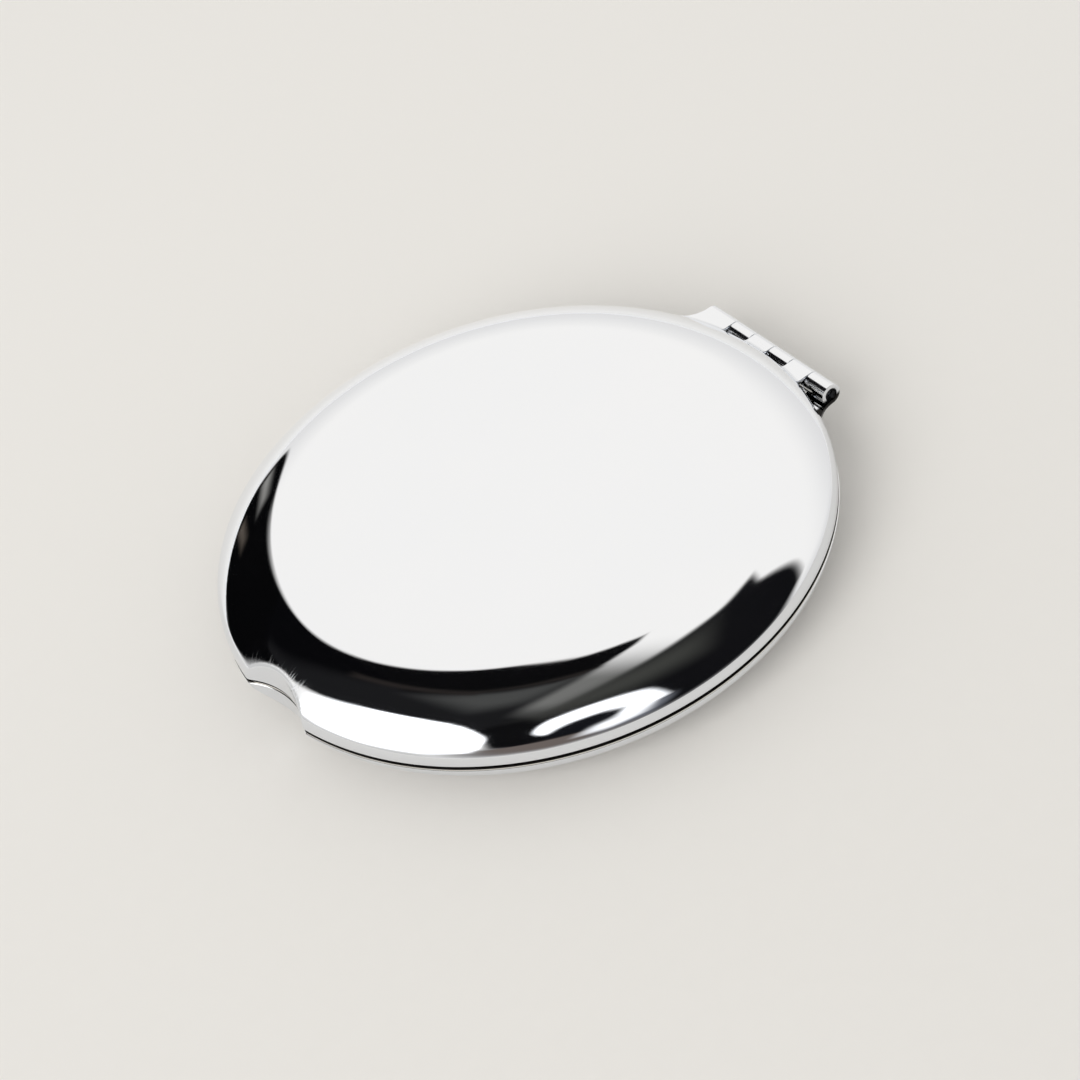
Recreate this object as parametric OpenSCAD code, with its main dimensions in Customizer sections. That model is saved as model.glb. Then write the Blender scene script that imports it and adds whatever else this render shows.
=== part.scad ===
// Round hinged pocket mirror in a pressed metal case, closed, in millimetres.
// The origin is the middle of the flat rest face. The hinge is on +Y and the thumb notch on -Y.

/* [Case] */
// Diameter of the round case
case_d = 66; // [62:0.5:70]
// Thickness of the closed case
case_h = 11.6; // [11.4:0.1:12.4]
// Thickness of the pressed shells
sheet_t = 0.45; // [0.35:0.05:0.5]
// Radius of the tight turn at the rim
rim_r = 2.2; // [2.1:0.05:2.3]
// Height of the straight wall above the parting plane
wall_h = 0.32; // [0.24:0.04:0.4]
// Open gap that shows between lid and base
seam_gap = 0.3; // [0.2:0.05:0.4]

/* [Thumb notch] */
// Depth of the notch at the parting plane
notch_depth = 2; // [1.6:0.1:2.1]
// Radius of the notch at the parting plane
notch_r = 9; // [7.5:0.5:12]
// Lean of the notch's wall
notch_lean = 2; // [1:0.5:8]

/* [Hinge] */
// Distance of the hinge axis outside the rim
hinge_out = 0.8; // [0.6:0.05:1]
// Diameter of the hinge pin
pin_d = 1.4; // [1.2:0.05:1.5]
// Radial clearance of the pin in the knuckles
pin_clear = 0.05; // [0.03:0.01:0.08]
// Depth of the pin's ends inside the barrel
pin_recess = 0.8; // [0.4:0.1:1.4]
// Width of a knuckle
knuckle_w = 3.2; // [2.8:0.1:3.4]
// Width of the lid's end knuckle
end_knuckle_w = 4.2; // [3.6:0.1:4.6]
// Gap between neighbouring knuckles
knuckle_gap = 0.12; // [0.08:0.02:0.2]
// How far the barrel sits to one side
barrel_shift = 0.2; // [0:0.1:0.4]
// Radius of the hollow sweep beside each end knuckle
sweep_r = 3.6; // [3.4:0.1:3.8]
// Angle left open where the rolled sheet ends
curl_open_angle = 65; // [55:1:75]
// Clearance of the shells round the barrel
barrel_clear = 0.15; // [0.1:0.01:0.2]
// Radius of the fillet between the shell and its knuckles
fillet_r = 1; // [0.8:0.05:1.1]

/* [Frames] */
// Thickness of the pressed frames
frame_t = 0.35; // [0.3:0.05:0.4]
// Distance of the base flange's edge inside the case's outline
flange_inset = 0.06; // [0.04:0.01:0.12]
// Height of each frame's outer skirt
skirt_h = 0.7; // [0.5:0.05:0.8]
// Clearance of a frame inside its shell
frame_clear = 0.03; // [0.02:0.01:0.08]
// How far the lid's frame sits inside the lid's edge
frame_recess = 0.2; // [0.15:0.05:0.3]
// Height of the collar round each mirror
collar_h = 2.2; // [1.6:0.1:2.3]
// How far the frame's lip covers the mirror's edge
lip_w = 0.8; // [0.5:0.1:1.2]
// Height of the bead round the base mirror
bead_h = 0.18; // [0.12:0.02:0.22]
// Radius of the bead's section
bead_r = 0.45; // [0.4:0.05:0.5]
// Radius of the catch nibs
nib_r = 0.5; // [0.4:0.05:0.55]
// Height of a nib's straight part
nib_h = 0.25; // [0.2:0.05:0.35]
// Clearance of a nib in the lid frame's hole
nib_clear = 0.1; // [0.06:0.02:0.14]
// Angle of each nib from the middle of the notch
nib_angle = 15; // [14:1:20]

/* [Mirrors] */
// Distance from the case's outline to the mirrors' edge
mirror_margin = 4; // [3.8:0.1:5]
// Thickness of the mirror glass
glass_t = 1.5; // [1.2:0.1:1.6]
// Clearance round each mirror
mirror_clear = 0.2; // [0.1:0.05:0.3]
// Radius of the magnifying mirror's hollow front
concave_r = 500; // [450:10:800]
// Thickness of the foam pads at their thinnest
pad_t = 0.8; // [0.5:0.05:1]
// Clearance of the boards' edge inside the shells' shoulder
board_clear = 0.4; // [0.2:0.1:1]
// Distance of the pads' edge inside the boards' edge
pad_inset = 0.5; // [0.3:0.1:2]
// Thickness of the adhesive sheets
adhesive_t = 0.2; // [0.1:0.05:0.3]
// Distance of the adhesive's edge inside the flat of the shell
adhesive_inset = 1; // [0.5:0.1:3]

/* [Hidden] */
$fn = 180;

// Number of knuckles in the barrel, lid and base by turns, with the lid's first
knuckle_count = 6;
// Facet count of the mirror's large arcs
arc_fn = 1800;

case_r = case_d / 2;
half_h = case_h / 2;
seam_z = half_h;
overrun = case_h;

// The line through the centres of the rim's turn and the shoulder has this run, rise and length, a right
// triangle with whole sides, so that both arcs meet smoothly in exact numbers
turn = [20, 21, 29];
// The shoulder rises by a whole number of small steps, which keeps its numbers short, and the straight wall
// takes up the rest
rise_step = 0.02;
shoulder_rise = rise_step * round((half_h - rim_r - wall_h) / rise_step);
wall_top = half_h - rim_r - shoulder_rise;
// The shoulder's radius and the radius of the flat
shoulder_r = rim_r + shoulder_rise * turn.z / (turn.z - turn.y);
flat_r = case_r - rim_r - shoulder_rise * turn.x / (turn.z - turn.y);
// Share of an arc's radius at which the section's inner corners lie
chord_share = 0.99;
// Centres of both arcs, as [radius, height above the parting plane]
rim_c = [case_r - rim_r, wall_top];
shoulder_c = [flat_r, half_h - shoulder_r];

barrel_r = pin_d / 2 + pin_clear + sheet_t;
bore_r = pin_d / 2 + pin_clear;
hinge_y = case_r + hinge_out;
barrel_w = end_knuckle_w + (knuckle_count - 1) * knuckle_w;
barrel_x = barrel_shift - barrel_w / 2;
leaf_low = barrel_r - sheet_t;
// The window over a knuckle of the other half, in the wall beside the barrel
window_depth = 2 * sheet_t;
window_h = barrel_r + barrel_clear;
// Width of the sweep beside each end knuckle, and how far its arc and the fillet's cut into their walls
sweep_w = 0.72 * sweep_r;
fillet_bite = 0.03;
fillet_z = leaf_low + sheet_t + fillet_r;
fillet_c = [rim_c.x + sqrt(pow(rim_r + fillet_r, 2) - pow(fillet_z - wall_top, 2)), fillet_z];

notch_y = notch_depth - case_r - notch_r;

mirror_r = case_r - mirror_margin;
collar_r = mirror_r + mirror_clear;
lip_r = mirror_r - lip_w;
// Depths from the parting plane of each frame's front face
base_face = seam_gap / 2;
lid_face = seam_gap / 2 + frame_recess;
// Depth of the magnifying mirror's hollow, and of its front at the middle
hollow = concave_r - sqrt(concave_r * concave_r - mirror_r * mirror_r);
hollow_face = base_face + frame_t + hollow;
// Depths of both boards' faces towards the mirrors, and of their backs
base_board_face = hollow_face + glass_t + pad_t;
lid_board_face = lid_face + frame_t + glass_t + 2 * pad_t;
board_back = half_h - sheet_t - adhesive_t;
board_r = flat_r - board_clear
    + sqrt(pow(shoulder_r - sheet_t, 2) - pow(board_back - shoulder_c.y, 2));
pad_r = board_r - pad_inset;
// Number of steps in the foam pad's hollow side
pad_steps = 12;

// First edge of knuckle i along the barrel
function knuckle_x(i) = barrel_x + (i == 0 ? 0 : end_knuckle_w + (i - 1) * knuckle_w);
// Inner radius of a shell's wall at a depth from the parting plane
function wall_in(depth) = rim_c.x + sqrt(pow(rim_r - sheet_t, 2) - pow(depth - wall_top, 2));
// Outer radius of a frame whose skirt ends at a depth
function skirt_r(face) = wall_in(face + frame_t + skirt_h) - frame_clear;
// The direction at an angle above the parting plane
function slope(angle) = [cos(angle), sin(angle)];
// Radius from the centre to the nibs
function nib_reach() = (collar_r + skirt_r(lid_face)) / 2;
// Radius of the notch at a depth from the parting plane
function notch_at(depth) = notch_r + depth * tan(notch_lean);
// Height of the magnifying mirror's back at a radius
function mirror_back(r) = hollow_face - concave_r + sqrt(pow(concave_r + glass_t, 2) - r * r);

// Half section of the case, in from its outside by an inset
module dome_section(inset) {
    turn_angle = atan2(turn.y, turn.x);
    polygon([
        [0, 0], [case_r - inset, 0], [case_r - inset, wall_top],
        rim_c + chord_share * (rim_r - inset) * slope(turn_angle - 15),
        shoulder_c + chord_share * (shoulder_r - inset) * slope(turn_angle + 5),
        [flat_r, half_h - inset], [0, half_h - inset],
    ]);
    translate(rim_c) intersection() {
        circle(rim_r - inset);
        polygon([[0, 0], [turn.x, 0], [turn.x, turn.y]]);
    }
    intersection() {
        translate(shoulder_c) intersection() {
            circle(shoulder_r - inset);
            polygon([[0, 0], [turn.x, turn.y], [0, turn.y]]);
        }
        square([case_r, half_h]);
    }
}

module dome(inset) {
    rotate_extrude() dome_section(inset);
}

// The leaning space of the thumb notch, grown by a wall
module notch_space(wall) {
    grow = wall / cos(notch_lean);
    translate([0, notch_y, 0]) cylinder(r1 = notch_r + grow, r2 = notch_at(half_h) + grow, h = half_h);
}

// A block along X at the hinge, between two places
module hinge_span(from, to, low, high) {
    translate([from, 0, low]) cube([to - from, hinge_y + barrel_r, high - low]);
}

// The rolled part of knuckle i, with its leaf's side at the top
module curl(i) {
    width = knuckle_x(i + 1) - knuckle_x(i) - knuckle_gap;
    open_x = -2 * barrel_r * sin(curl_open_angle);
    open_y = 2 * barrel_r * cos(curl_open_angle);
    translate([knuckle_x(i) + knuckle_gap / 2, hinge_y, 0]) rotate([90, 0, 90]) linear_extrude(width) {
        difference() {
            circle(barrel_r, $fn = 96);
            circle(bore_r, $fn = 96);
            polygon([[0, 0], [0, 2 * barrel_r], [open_x, 2 * barrel_r], [open_x, open_y]]);
        }
    }
}

// Outline of the leaf that joins knuckle i to the wall, with a sweep at the end of the barrel
module leaf_outline(i) {
    from = knuckle_x(i) + knuckle_gap / 2;
    to = knuckle_x(i + 1) - knuckle_gap / 2;
    side = i == 0 ? -1 : 1;
    edge = i == 0 ? from : to;
    translate([from, 0]) square([to - from, hinge_y]);
    if (i == 0 || i == knuckle_count - 1) difference() {
        translate([edge + (side - 1) / 2 * sweep_w, 0]) square([sweep_w, hinge_y]);
        translate([edge + side * sweep_r, hinge_y]) circle(sweep_r);
    }
}

// The leaf of knuckle i and its fillet to the wall
module leaf(i) {
    mid_r = rim_r - sheet_t / 2;
    mid_z = leaf_low + sheet_t / 2;
    toward = (fillet_c - rim_c) / norm(fillet_c - rim_c);
    translate([0, 0, leaf_low]) linear_extrude(sheet_t) difference() {
        leaf_outline(i);
        circle(wall_in(leaf_low));
    }
    intersection() {
        translate([0, 0, mid_z]) linear_extrude(half_h) leaf_outline(i);
        rotate_extrude() difference() {
            polygon([
                [rim_c.x + sqrt(mid_r * mid_r - pow(mid_z - wall_top, 2)), mid_z],
                [fillet_c.x, mid_z], fillet_c, rim_c + mid_r * toward,
            ]);
            translate(fillet_c) circle(fillet_r + fillet_bite, $fn = 96);
        }
    }
}

// The space that a shell leaves for knuckle i, up to a height
module window(i, high) {
    intersection() {
        hinge_span(
            knuckle_x(i) - knuckle_gap / 2 - (i == 0 ? sweep_w : 0),
            knuckle_x(i + 1) + knuckle_gap / 2 + (i == knuckle_count - 1 ? sweep_w : 0),
            0, high);
        difference() {
            cylinder(r = case_r + overrun, h = overrun);
            cylinder(r = case_r - window_depth, h = overrun);
        }
    }
}

// A pressed shell above its parting plane: its edge height, and the number of its first knuckle
module shell(edge, first) {
    difference() {
        dome(0);
        notch_space(0);
        difference() {
            dome(sheet_t);
            notch_space(sheet_t);
        }
        cylinder(r = case_r + overrun, h = edge);
        for (i = [first : 2 : knuckle_count - 1]) window(i, leaf_low);
        for (i = [1 - first : 2 : knuckle_count - 1]) window(i, window_h);
    }
    for (i = [first : 2 : knuckle_count - 1]) {
        curl(i);
        leaf(i);
    }
}

// Half section of a frame that faces the parting plane: its flange's edge and its face's depth
module frame_section(edge_r, face) {
    translate([lip_r, face]) square([edge_r - lip_r, frame_t]);
    translate([skirt_r(face) - frame_t, face]) square([frame_t, frame_t + skirt_h]);
    translate([collar_r, face]) square([frame_t, frame_t + collar_h]);
}

// The notch's room through a frame, from one depth to another
module frame_notch(from, to) {
    wall = sheet_t / cos(notch_lean) + frame_clear;
    translate([0, notch_y, from])
        cylinder(r1 = notch_at(from) + wall, r2 = notch_at(to) + wall, h = to - from);
}

// The places of both catch nibs at a depth
module nib_places(depth) {
    for (side = [-1, 1]) rotate(side * nib_angle) translate([0, -nib_reach(), depth]) children();
}

module lower() {
    translate([0, 0, seam_z]) mirror([0, 0, 1]) children();
}

module upper() {
    translate([0, 0, seam_z]) children();
}

module disc(r, from, to) {
    translate([0, 0, from]) cylinder(r = r, h = to - from);
}

module base_shell() {
    color("silver") lower() shell(base_face + frame_t, 1);
}

module lid_shell() {
    color("silver") upper() shell(seam_gap / 2, 0);
}

module base_frame() {
    color("gainsboro") lower() {
        difference() {
            rotate_extrude() {
                frame_section(case_r - flange_inset, base_face);
                intersection() {
                    translate([lip_r + bead_r, base_face + bead_r - bead_h]) circle(bead_r, $fn = 48);
                    translate([lip_r, base_face - bead_h]) square([2 * bead_r, frame_t]);
                }
            }
            translate([0, notch_y, 0])
                cylinder(r = notch_at(base_face) + flange_inset, h = base_face + frame_t);
            frame_notch(base_face + frame_t, base_face + frame_t + collar_h);
            difference() {
                hinge_span(
                    barrel_x - sweep_w, barrel_x + barrel_w + sweep_w, 0, base_face + frame_t);
                cylinder(r = skirt_r(base_face), h = overrun);
            }
        }
        nib_places(base_face) mirror([0, 0, 1]) {
            cylinder(r = nib_r, h = nib_h, $fn = 48);
            translate([0, 0, nib_h]) intersection() {
                sphere(nib_r, $fn = 48);
                cylinder(r = nib_r, h = nib_r, $fn = 48);
            }
        }
    }
}

module lid_frame() {
    color("gainsboro") upper() difference() {
        rotate_extrude() frame_section(skirt_r(lid_face), lid_face);
        frame_notch(0, lid_face + frame_t + collar_h);
        nib_places(lid_face) cylinder(r = nib_r + nib_clear, h = frame_t, $fn = 48);
    }
}

module base_mirror() {
    color("lightsteelblue") lower() rotate_extrude() intersection() {
        difference() {
            translate([0, hollow_face - concave_r]) circle(concave_r + glass_t, $fn = arc_fn);
            translate([0, hollow_face - concave_r]) circle(concave_r, $fn = arc_fn);
        }
        square([mirror_r, half_h]);
    }
}

module lid_mirror() {
    color("lightsteelblue") upper() disc(mirror_r, lid_face + frame_t, lid_face + frame_t + glass_t);
}

module base_pad() {
    color("dimgray") lower() rotate_extrude() polygon(concat(
        [for (i = [0 : pad_steps]) [pad_r * i / pad_steps, mirror_back(pad_r * i / pad_steps)]],
        [[pad_r, base_board_face], [0, base_board_face]]
    ));
}

module lid_pad() {
    color("dimgray") upper() disc(pad_r, lid_board_face - 2 * pad_t, lid_board_face);
}

module base_board() {
    color("darkgray") lower() disc(board_r, base_board_face, board_back);
}

module lid_board() {
    color("darkgray") upper() disc(board_r, lid_board_face, board_back);
}

module base_adhesive() {
    color("khaki") lower() disc(flat_r - adhesive_inset, board_back, board_back + adhesive_t);
}

module lid_adhesive() {
    color("khaki") upper() disc(flat_r - adhesive_inset, board_back, board_back + adhesive_t);
}

module hinge_pin() {
    color("slategray") translate([barrel_x + pin_recess, hinge_y, seam_z]) rotate([0, 90, 0])
        cylinder(r = pin_d / 2, h = barrel_w - 2 * pin_recess, $fn = 96);
}

base_shell();
base_frame();
base_mirror();
base_pad();
base_board();
base_adhesive();
hinge_pin();
lid_shell();
lid_frame();
lid_mirror();
lid_pad();
lid_board();
lid_adhesive();
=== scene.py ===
"""Round pocket mirror in a chromed steel case: two pressed shells, rolled hinge, frames, mirrors and their bed.

Lengths are millimetres until a finished piece is brought to metres. Shapes of each half are drawn upwards from
the parting plane and then set on the lid's or the base's side of it. The thumb notch is on -Y, the hinge on +Y.
"""

import math

import bmesh
import bpy
import numpy as np
from mathutils import Matrix, Vector


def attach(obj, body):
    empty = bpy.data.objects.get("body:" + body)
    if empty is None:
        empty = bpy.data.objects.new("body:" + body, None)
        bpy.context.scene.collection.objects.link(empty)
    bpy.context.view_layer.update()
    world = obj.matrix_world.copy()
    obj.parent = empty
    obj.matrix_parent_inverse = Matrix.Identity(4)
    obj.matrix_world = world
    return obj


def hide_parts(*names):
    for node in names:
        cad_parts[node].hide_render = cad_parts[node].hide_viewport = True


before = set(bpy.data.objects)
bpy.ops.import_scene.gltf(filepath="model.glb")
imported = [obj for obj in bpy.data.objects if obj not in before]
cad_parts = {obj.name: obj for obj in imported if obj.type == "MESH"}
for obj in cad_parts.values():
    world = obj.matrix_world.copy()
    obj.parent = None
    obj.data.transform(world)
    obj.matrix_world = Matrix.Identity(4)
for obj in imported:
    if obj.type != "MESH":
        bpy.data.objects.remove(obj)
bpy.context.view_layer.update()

MM = 0.001

# ---- the case's sizes -------------------------------------------------------------------------------------------
HALF = 5.8                                      # half of the closed case's thickness
CASE_R = 33.0
SHEET = 0.45                                    # thickness of the shells and knuckles
RIM_C, RIM_R = (30.8, 0.32), 2.2                # round of the rim, as radius and depth of its centre
SHOULDER_C, SHOULDER_R = (22.6, -8.29), 14.09   # round of the shoulder
TURN = math.atan2(21, 20)                       # where the one meets the other
LID_EDGE, BASE_EDGE = 0.15, 0.5                 # depths of the shells' edges
NOTCH_Y, NOTCH_R, NOTCH_LEAN = 40.0, 9.0, math.radians(2)
PRESS_ROUND = 0.4
HINGE_Y, BARREL_R, BORE_R, PIN_R = 33.8, 1.2, 0.75, 0.7
KNUCKLE_EDGES = (-9.9, -5.7, -2.5, 0.7, 3.9, 7.1, 10.3)
KNUCKLE_GAP, KNUCKLE_BEVEL = 0.06, 0.035
WINDOW_HIGH, WINDOW_CLEAR = 0.97, 0.15          # the shells' opening at the barrel, and room round a knuckle
SWEEP_R, SWEEP_W = 3.6, 2.592                   # sweep of the leaf beside an end knuckle
FILLET_C, FILLET_R = (33.39, 2.2), 1.0          # fillet between the wall and a leaf
CURL_END = math.radians(155)
BARREL_ROOM = (-12.55, 12.95)                   # where the base's flange steps back for the barrel
FRAME_T, LIP_R = 0.35, 28.2                     # the frames' sheet, and the inner edge of their lips
BEAD_R, BEAD_DEEP = 0.45, 0.27                  # the round bead on the base's lip, and the depth of its centre
SKIRT_H, COLLAR_H, COLLAR_R = 0.7, 2.2, 29.2
LID_FACE, LID_FLANGE_R = 0.35, 32.15            # depth and radius of each frame's flange
BASE_FACE, BASE_FLANGE_R, BASE_SKIRT_R = 0.15, 32.94, 32.28
MIRROR_R, GLASS, ARRIS = 29.0, 1.5, 0.15
BOWL_R, BOWL_FACE = 500.0, 1.3418               # the hollow front of the magnifying mirror, and its middle's depth
PAD_R, PAD_BULGE = 24.03, 0.25
LID_PAD_DEPTHS, BASE_BOARD = (2.2, 3.8), 3.64   # depths of the lid pad's sides and of the base board's face
NIB_R, HOLE_R, CATCH_REACH, CATCH_SPREAD = 0.5, 0.6, 30.675, 30.0


# ---- meshes -----------------------------------------------------------------------------------------------------
def solid(name, vertices, faces):
    """An object with a mesh of these faces."""
    mesh = bpy.data.meshes.new(name)
    mesh.from_pydata([tuple(v) for v in vertices], [], [tuple(f) for f in faces])
    body = bpy.data.objects.new(name, mesh)
    bpy.context.scene.collection.objects.link(body)
    return body


def loft(name, sections, ring=False, loop=True, caps=None):
    """A skin over equal sections, an array of sections by points by 3. With caps, "flat" closes each end by one
    face, and "paired" by faces between the two sides of a strip."""
    sections = np.asarray(sections, float)
    count, points = sections.shape[:2]
    faces = []
    for k in range(count if ring else count - 1):
        a, b = k * points, (k + 1) % count * points
        for j in range(points if loop else points - 1):
            i = (j + 1) % points
            faces.append((a + j, a + i, b + i, b + j))
    for start, turn in ((0, -1), ((count - 1) * points, 1)) if caps else ():
        if caps == "flat":
            faces.append([start + j for j in range(points)][::turn])
        else:
            for j in range(points // 2 - 1):
                faces.append([start + j, start + j + 1, start + points - 2 - j, start + points - 1 - j][::turn])
    body = solid(name, sections.reshape(-1, 3), faces)
    tidy(body)
    return body


def tidy(body, gap=1e-4):
    """Merges doubles, drops faces without area and turns every face outwards."""
    work = bmesh.new()
    work.from_mesh(body.data)
    bmesh.ops.remove_doubles(work, verts=work.verts, dist=gap)
    bmesh.ops.dissolve_degenerate(work, edges=work.edges, dist=gap)
    bmesh.ops.recalc_face_normals(work, faces=work.faces)
    work.to_mesh(body.data)
    work.free()


def plainly(body):
    """Makes the mesh that a body's modifiers give its own, and clears them."""
    bpy.context.view_layer.update()
    shaped = bpy.data.meshes.new_from_object(body.evaluated_get(bpy.context.evaluated_depsgraph_get()))
    body.modifiers.clear()
    body.data = shaped
    return body


def press(body, tool, way):
    """Cuts the tool out of a body or joins it on, and removes the tool."""
    step = body.modifiers.new(way, "BOOLEAN")
    step.operation, step.solver, step.object = way, "EXACT", tool
    plainly(body)
    bpy.data.objects.remove(tool)
    return body


def gather(name, bodies):
    """One object with the meshes of several."""
    work = bmesh.new()
    for body in bodies:
        work.from_mesh(body.data)
        bpy.data.objects.remove(body)
    whole = solid(name, [], [])
    work.to_mesh(whole.data)
    work.free()
    return whole


def arc(centre, radius, start, end, steps):
    """Points along a round, from one angle to another."""
    turn = np.linspace(start, end, steps + 1)
    return np.stack([centre[0] + radius * np.cos(turn), centre[1] + radius * np.sin(turn)], 1)


def turned(name, profile, degrees, reach=None, **closing):
    """A body turned round the case's axis from a profile of radius and depth. reach gives the radius that a point
    keeps at each angle."""
    profile = np.asarray(profile, float)
    angle = np.radians(np.asarray(degrees, float))[:, None]
    radius = np.broadcast_to(profile[:, 0], (len(angle), len(profile)))
    if reach:
        radius = reach(radius, profile[None, :, 1], angle)
    depth = np.broadcast_to(profile[:, 1], radius.shape)
    return loft(name, np.stack([radius * np.cos(angle), radius * np.sin(angle), depth], 2), **closing)


def notch_wall(angle, depth, wall):
    """Radius of the thumb notch's leaning wall, in from its outside by a wall."""
    r = NOTCH_R + depth * math.tan(NOTCH_LEAN) + wall / math.cos(NOTCH_LEAN)
    along = NOTCH_Y * np.cos(angle + math.pi / 2)
    root = along ** 2 - (NOTCH_Y ** 2 - r ** 2)
    return np.where((root > 0) & (along > 0), along - np.sqrt(np.maximum(root, 0)), 1000.0)


def pressed(radius, limit, soft=PRESS_ROUND):
    """The smaller of two radii, with the round that the press leaves where they meet."""
    near = np.maximum(soft - np.abs(radius - limit), 0) / soft
    return np.minimum(radius, limit) - near ** 3 * soft / 6


# ---- shells -----------------------------------------------------------------------------------------------------
def shell_profile(edge):
    """Outside from the axis down to the edge, then the inside back to the axis."""
    low = max(0.0, math.asin(max(0.0, edge + 0.07 - RIM_C[1]) / RIM_R))
    inner_low = max(0.0, math.asin(max(0.0, edge + 0.04 - RIM_C[1]) / (RIM_R - SHEET)))
    outside = [[r, HALF] for r in (0, 3, 7, 11, 15, 18, 20.5, 22)]
    outside += arc(SHOULDER_C, SHOULDER_R, math.pi / 2, TURN, 60).tolist()
    outside += arc(RIM_C, RIM_R, TURN, low, 24).tolist()[1:]
    wall = outside[-1][0]
    if outside[-1][1] > edge + 0.08:
        outside += [[wall, edge + 0.1], [wall, edge + 0.06]]
    outside += [[wall - 0.01, edge + 0.015], [wall - 0.035, edge]]
    inside = arc(SHOULDER_C, SHOULDER_R - SHEET, math.pi / 2, TURN, 22).tolist()
    inside += arc(RIM_C, RIM_R - SHEET, TURN, inner_low, 10).tolist()[1:]
    inner = inside[-1][0]
    if inside[-1][1] > edge + 0.05:
        inside += [[inner, edge + 0.04]]
    inside += [[inner + 0.04, edge]]
    inside = [[r, HALF - SHEET] for r in (0, 12, 20)] + inside
    return outside, inside


def shell(name, edge, first):
    """A pressed shell with its share of the knuckles, which start with knuckle number first."""
    outside, inside = shell_profile(edge)
    profile = outside + inside[::-1]
    wall = np.array([0.0] * len(outside) + [SHEET] * len(inside))[None, :]

    def reach(radius, depth, angle):
        limit = notch_wall(angle, depth, wall)
        return np.maximum(pressed(radius, limit), np.minimum(radius, 1.0))

    round_rest = np.concatenate([np.arange(115, 257, 1.0), np.arange(257.25, 283, 0.25), np.arange(283, 426, 1.0)])
    rest = turned(name + "_rest", profile, round_rest, reach, loop=False)
    sector = turned(name + "_hinge_side", profile, np.arange(65, 115.1, 0.5), reach, loop=False, caps="flat")

    last = len(KNUCKLE_EDGES) - 2
    gap = KNUCKLE_GAP / 2
    own = [i for i in range(last + 1) if i % 2 == first]
    other = [i for i in range(last + 1) if i % 2 != first]

    def span(i):
        low = KNUCKLE_EDGES[i] - gap - (SWEEP_W if i == 0 else 0)
        return low, KNUCKLE_EDGES[i + 1] + gap + (SWEEP_W if i == last else 0)

    press(sector, window(KNUCKLE_EDGES[0] - gap - SWEEP_W, KNUCKLE_EDGES[-1] + gap + SWEEP_W, WINDOW_HIGH),
          "DIFFERENCE")
    press(sector, gather("windows", [window(*span(i), BARREL_R + WINDOW_CLEAR) for i in other]), "DIFFERENCE")
    rolled = []
    for i in own:
        sweeps = (SWEEP_W if i == 0 else 0, SWEEP_W if i == last else 0)
        rolled.append(knuckle(KNUCKLE_EDGES[i] + gap, KNUCKLE_EDGES[i + 1] - gap, sweeps))
    press(sector, gather("knuckles", rolled), "UNION")

    # the sector's flat ends go, and the two parts of the shell become one skin
    work = bmesh.new()
    work.from_mesh(sector.data)
    ends = []
    for side in (65, 115):
        normal = Vector((-math.sin(math.radians(side)), math.cos(math.radians(side)), 0))
        ends += [f for f in work.faces if all(abs(v.co.dot(normal)) < 1e-3 for v in f.verts)
                 and abs(f.normal.dot(normal)) > 0.9]
    bmesh.ops.delete(work, geom=ends, context="FACES")
    work.to_mesh(sector.data)
    work.free()
    whole = gather(name, [rest, sector])
    tidy(whole, 2e-4)
    return whole


def window(start, end, high):
    """The room that a shell leaves in its wall over a knuckle, up to a height."""
    inner, outer = CASE_R - 2 * SHEET, HINGE_Y + 3
    rows = []
    for x in np.linspace(start, end, 16):
        y = math.sqrt(inner ** 2 - x ** 2)
        rows.append([(x, y, -1), (x, outer, -1), (x, outer, high), (x, y, high)])
    return loft("window", rows, caps="paired")


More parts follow.
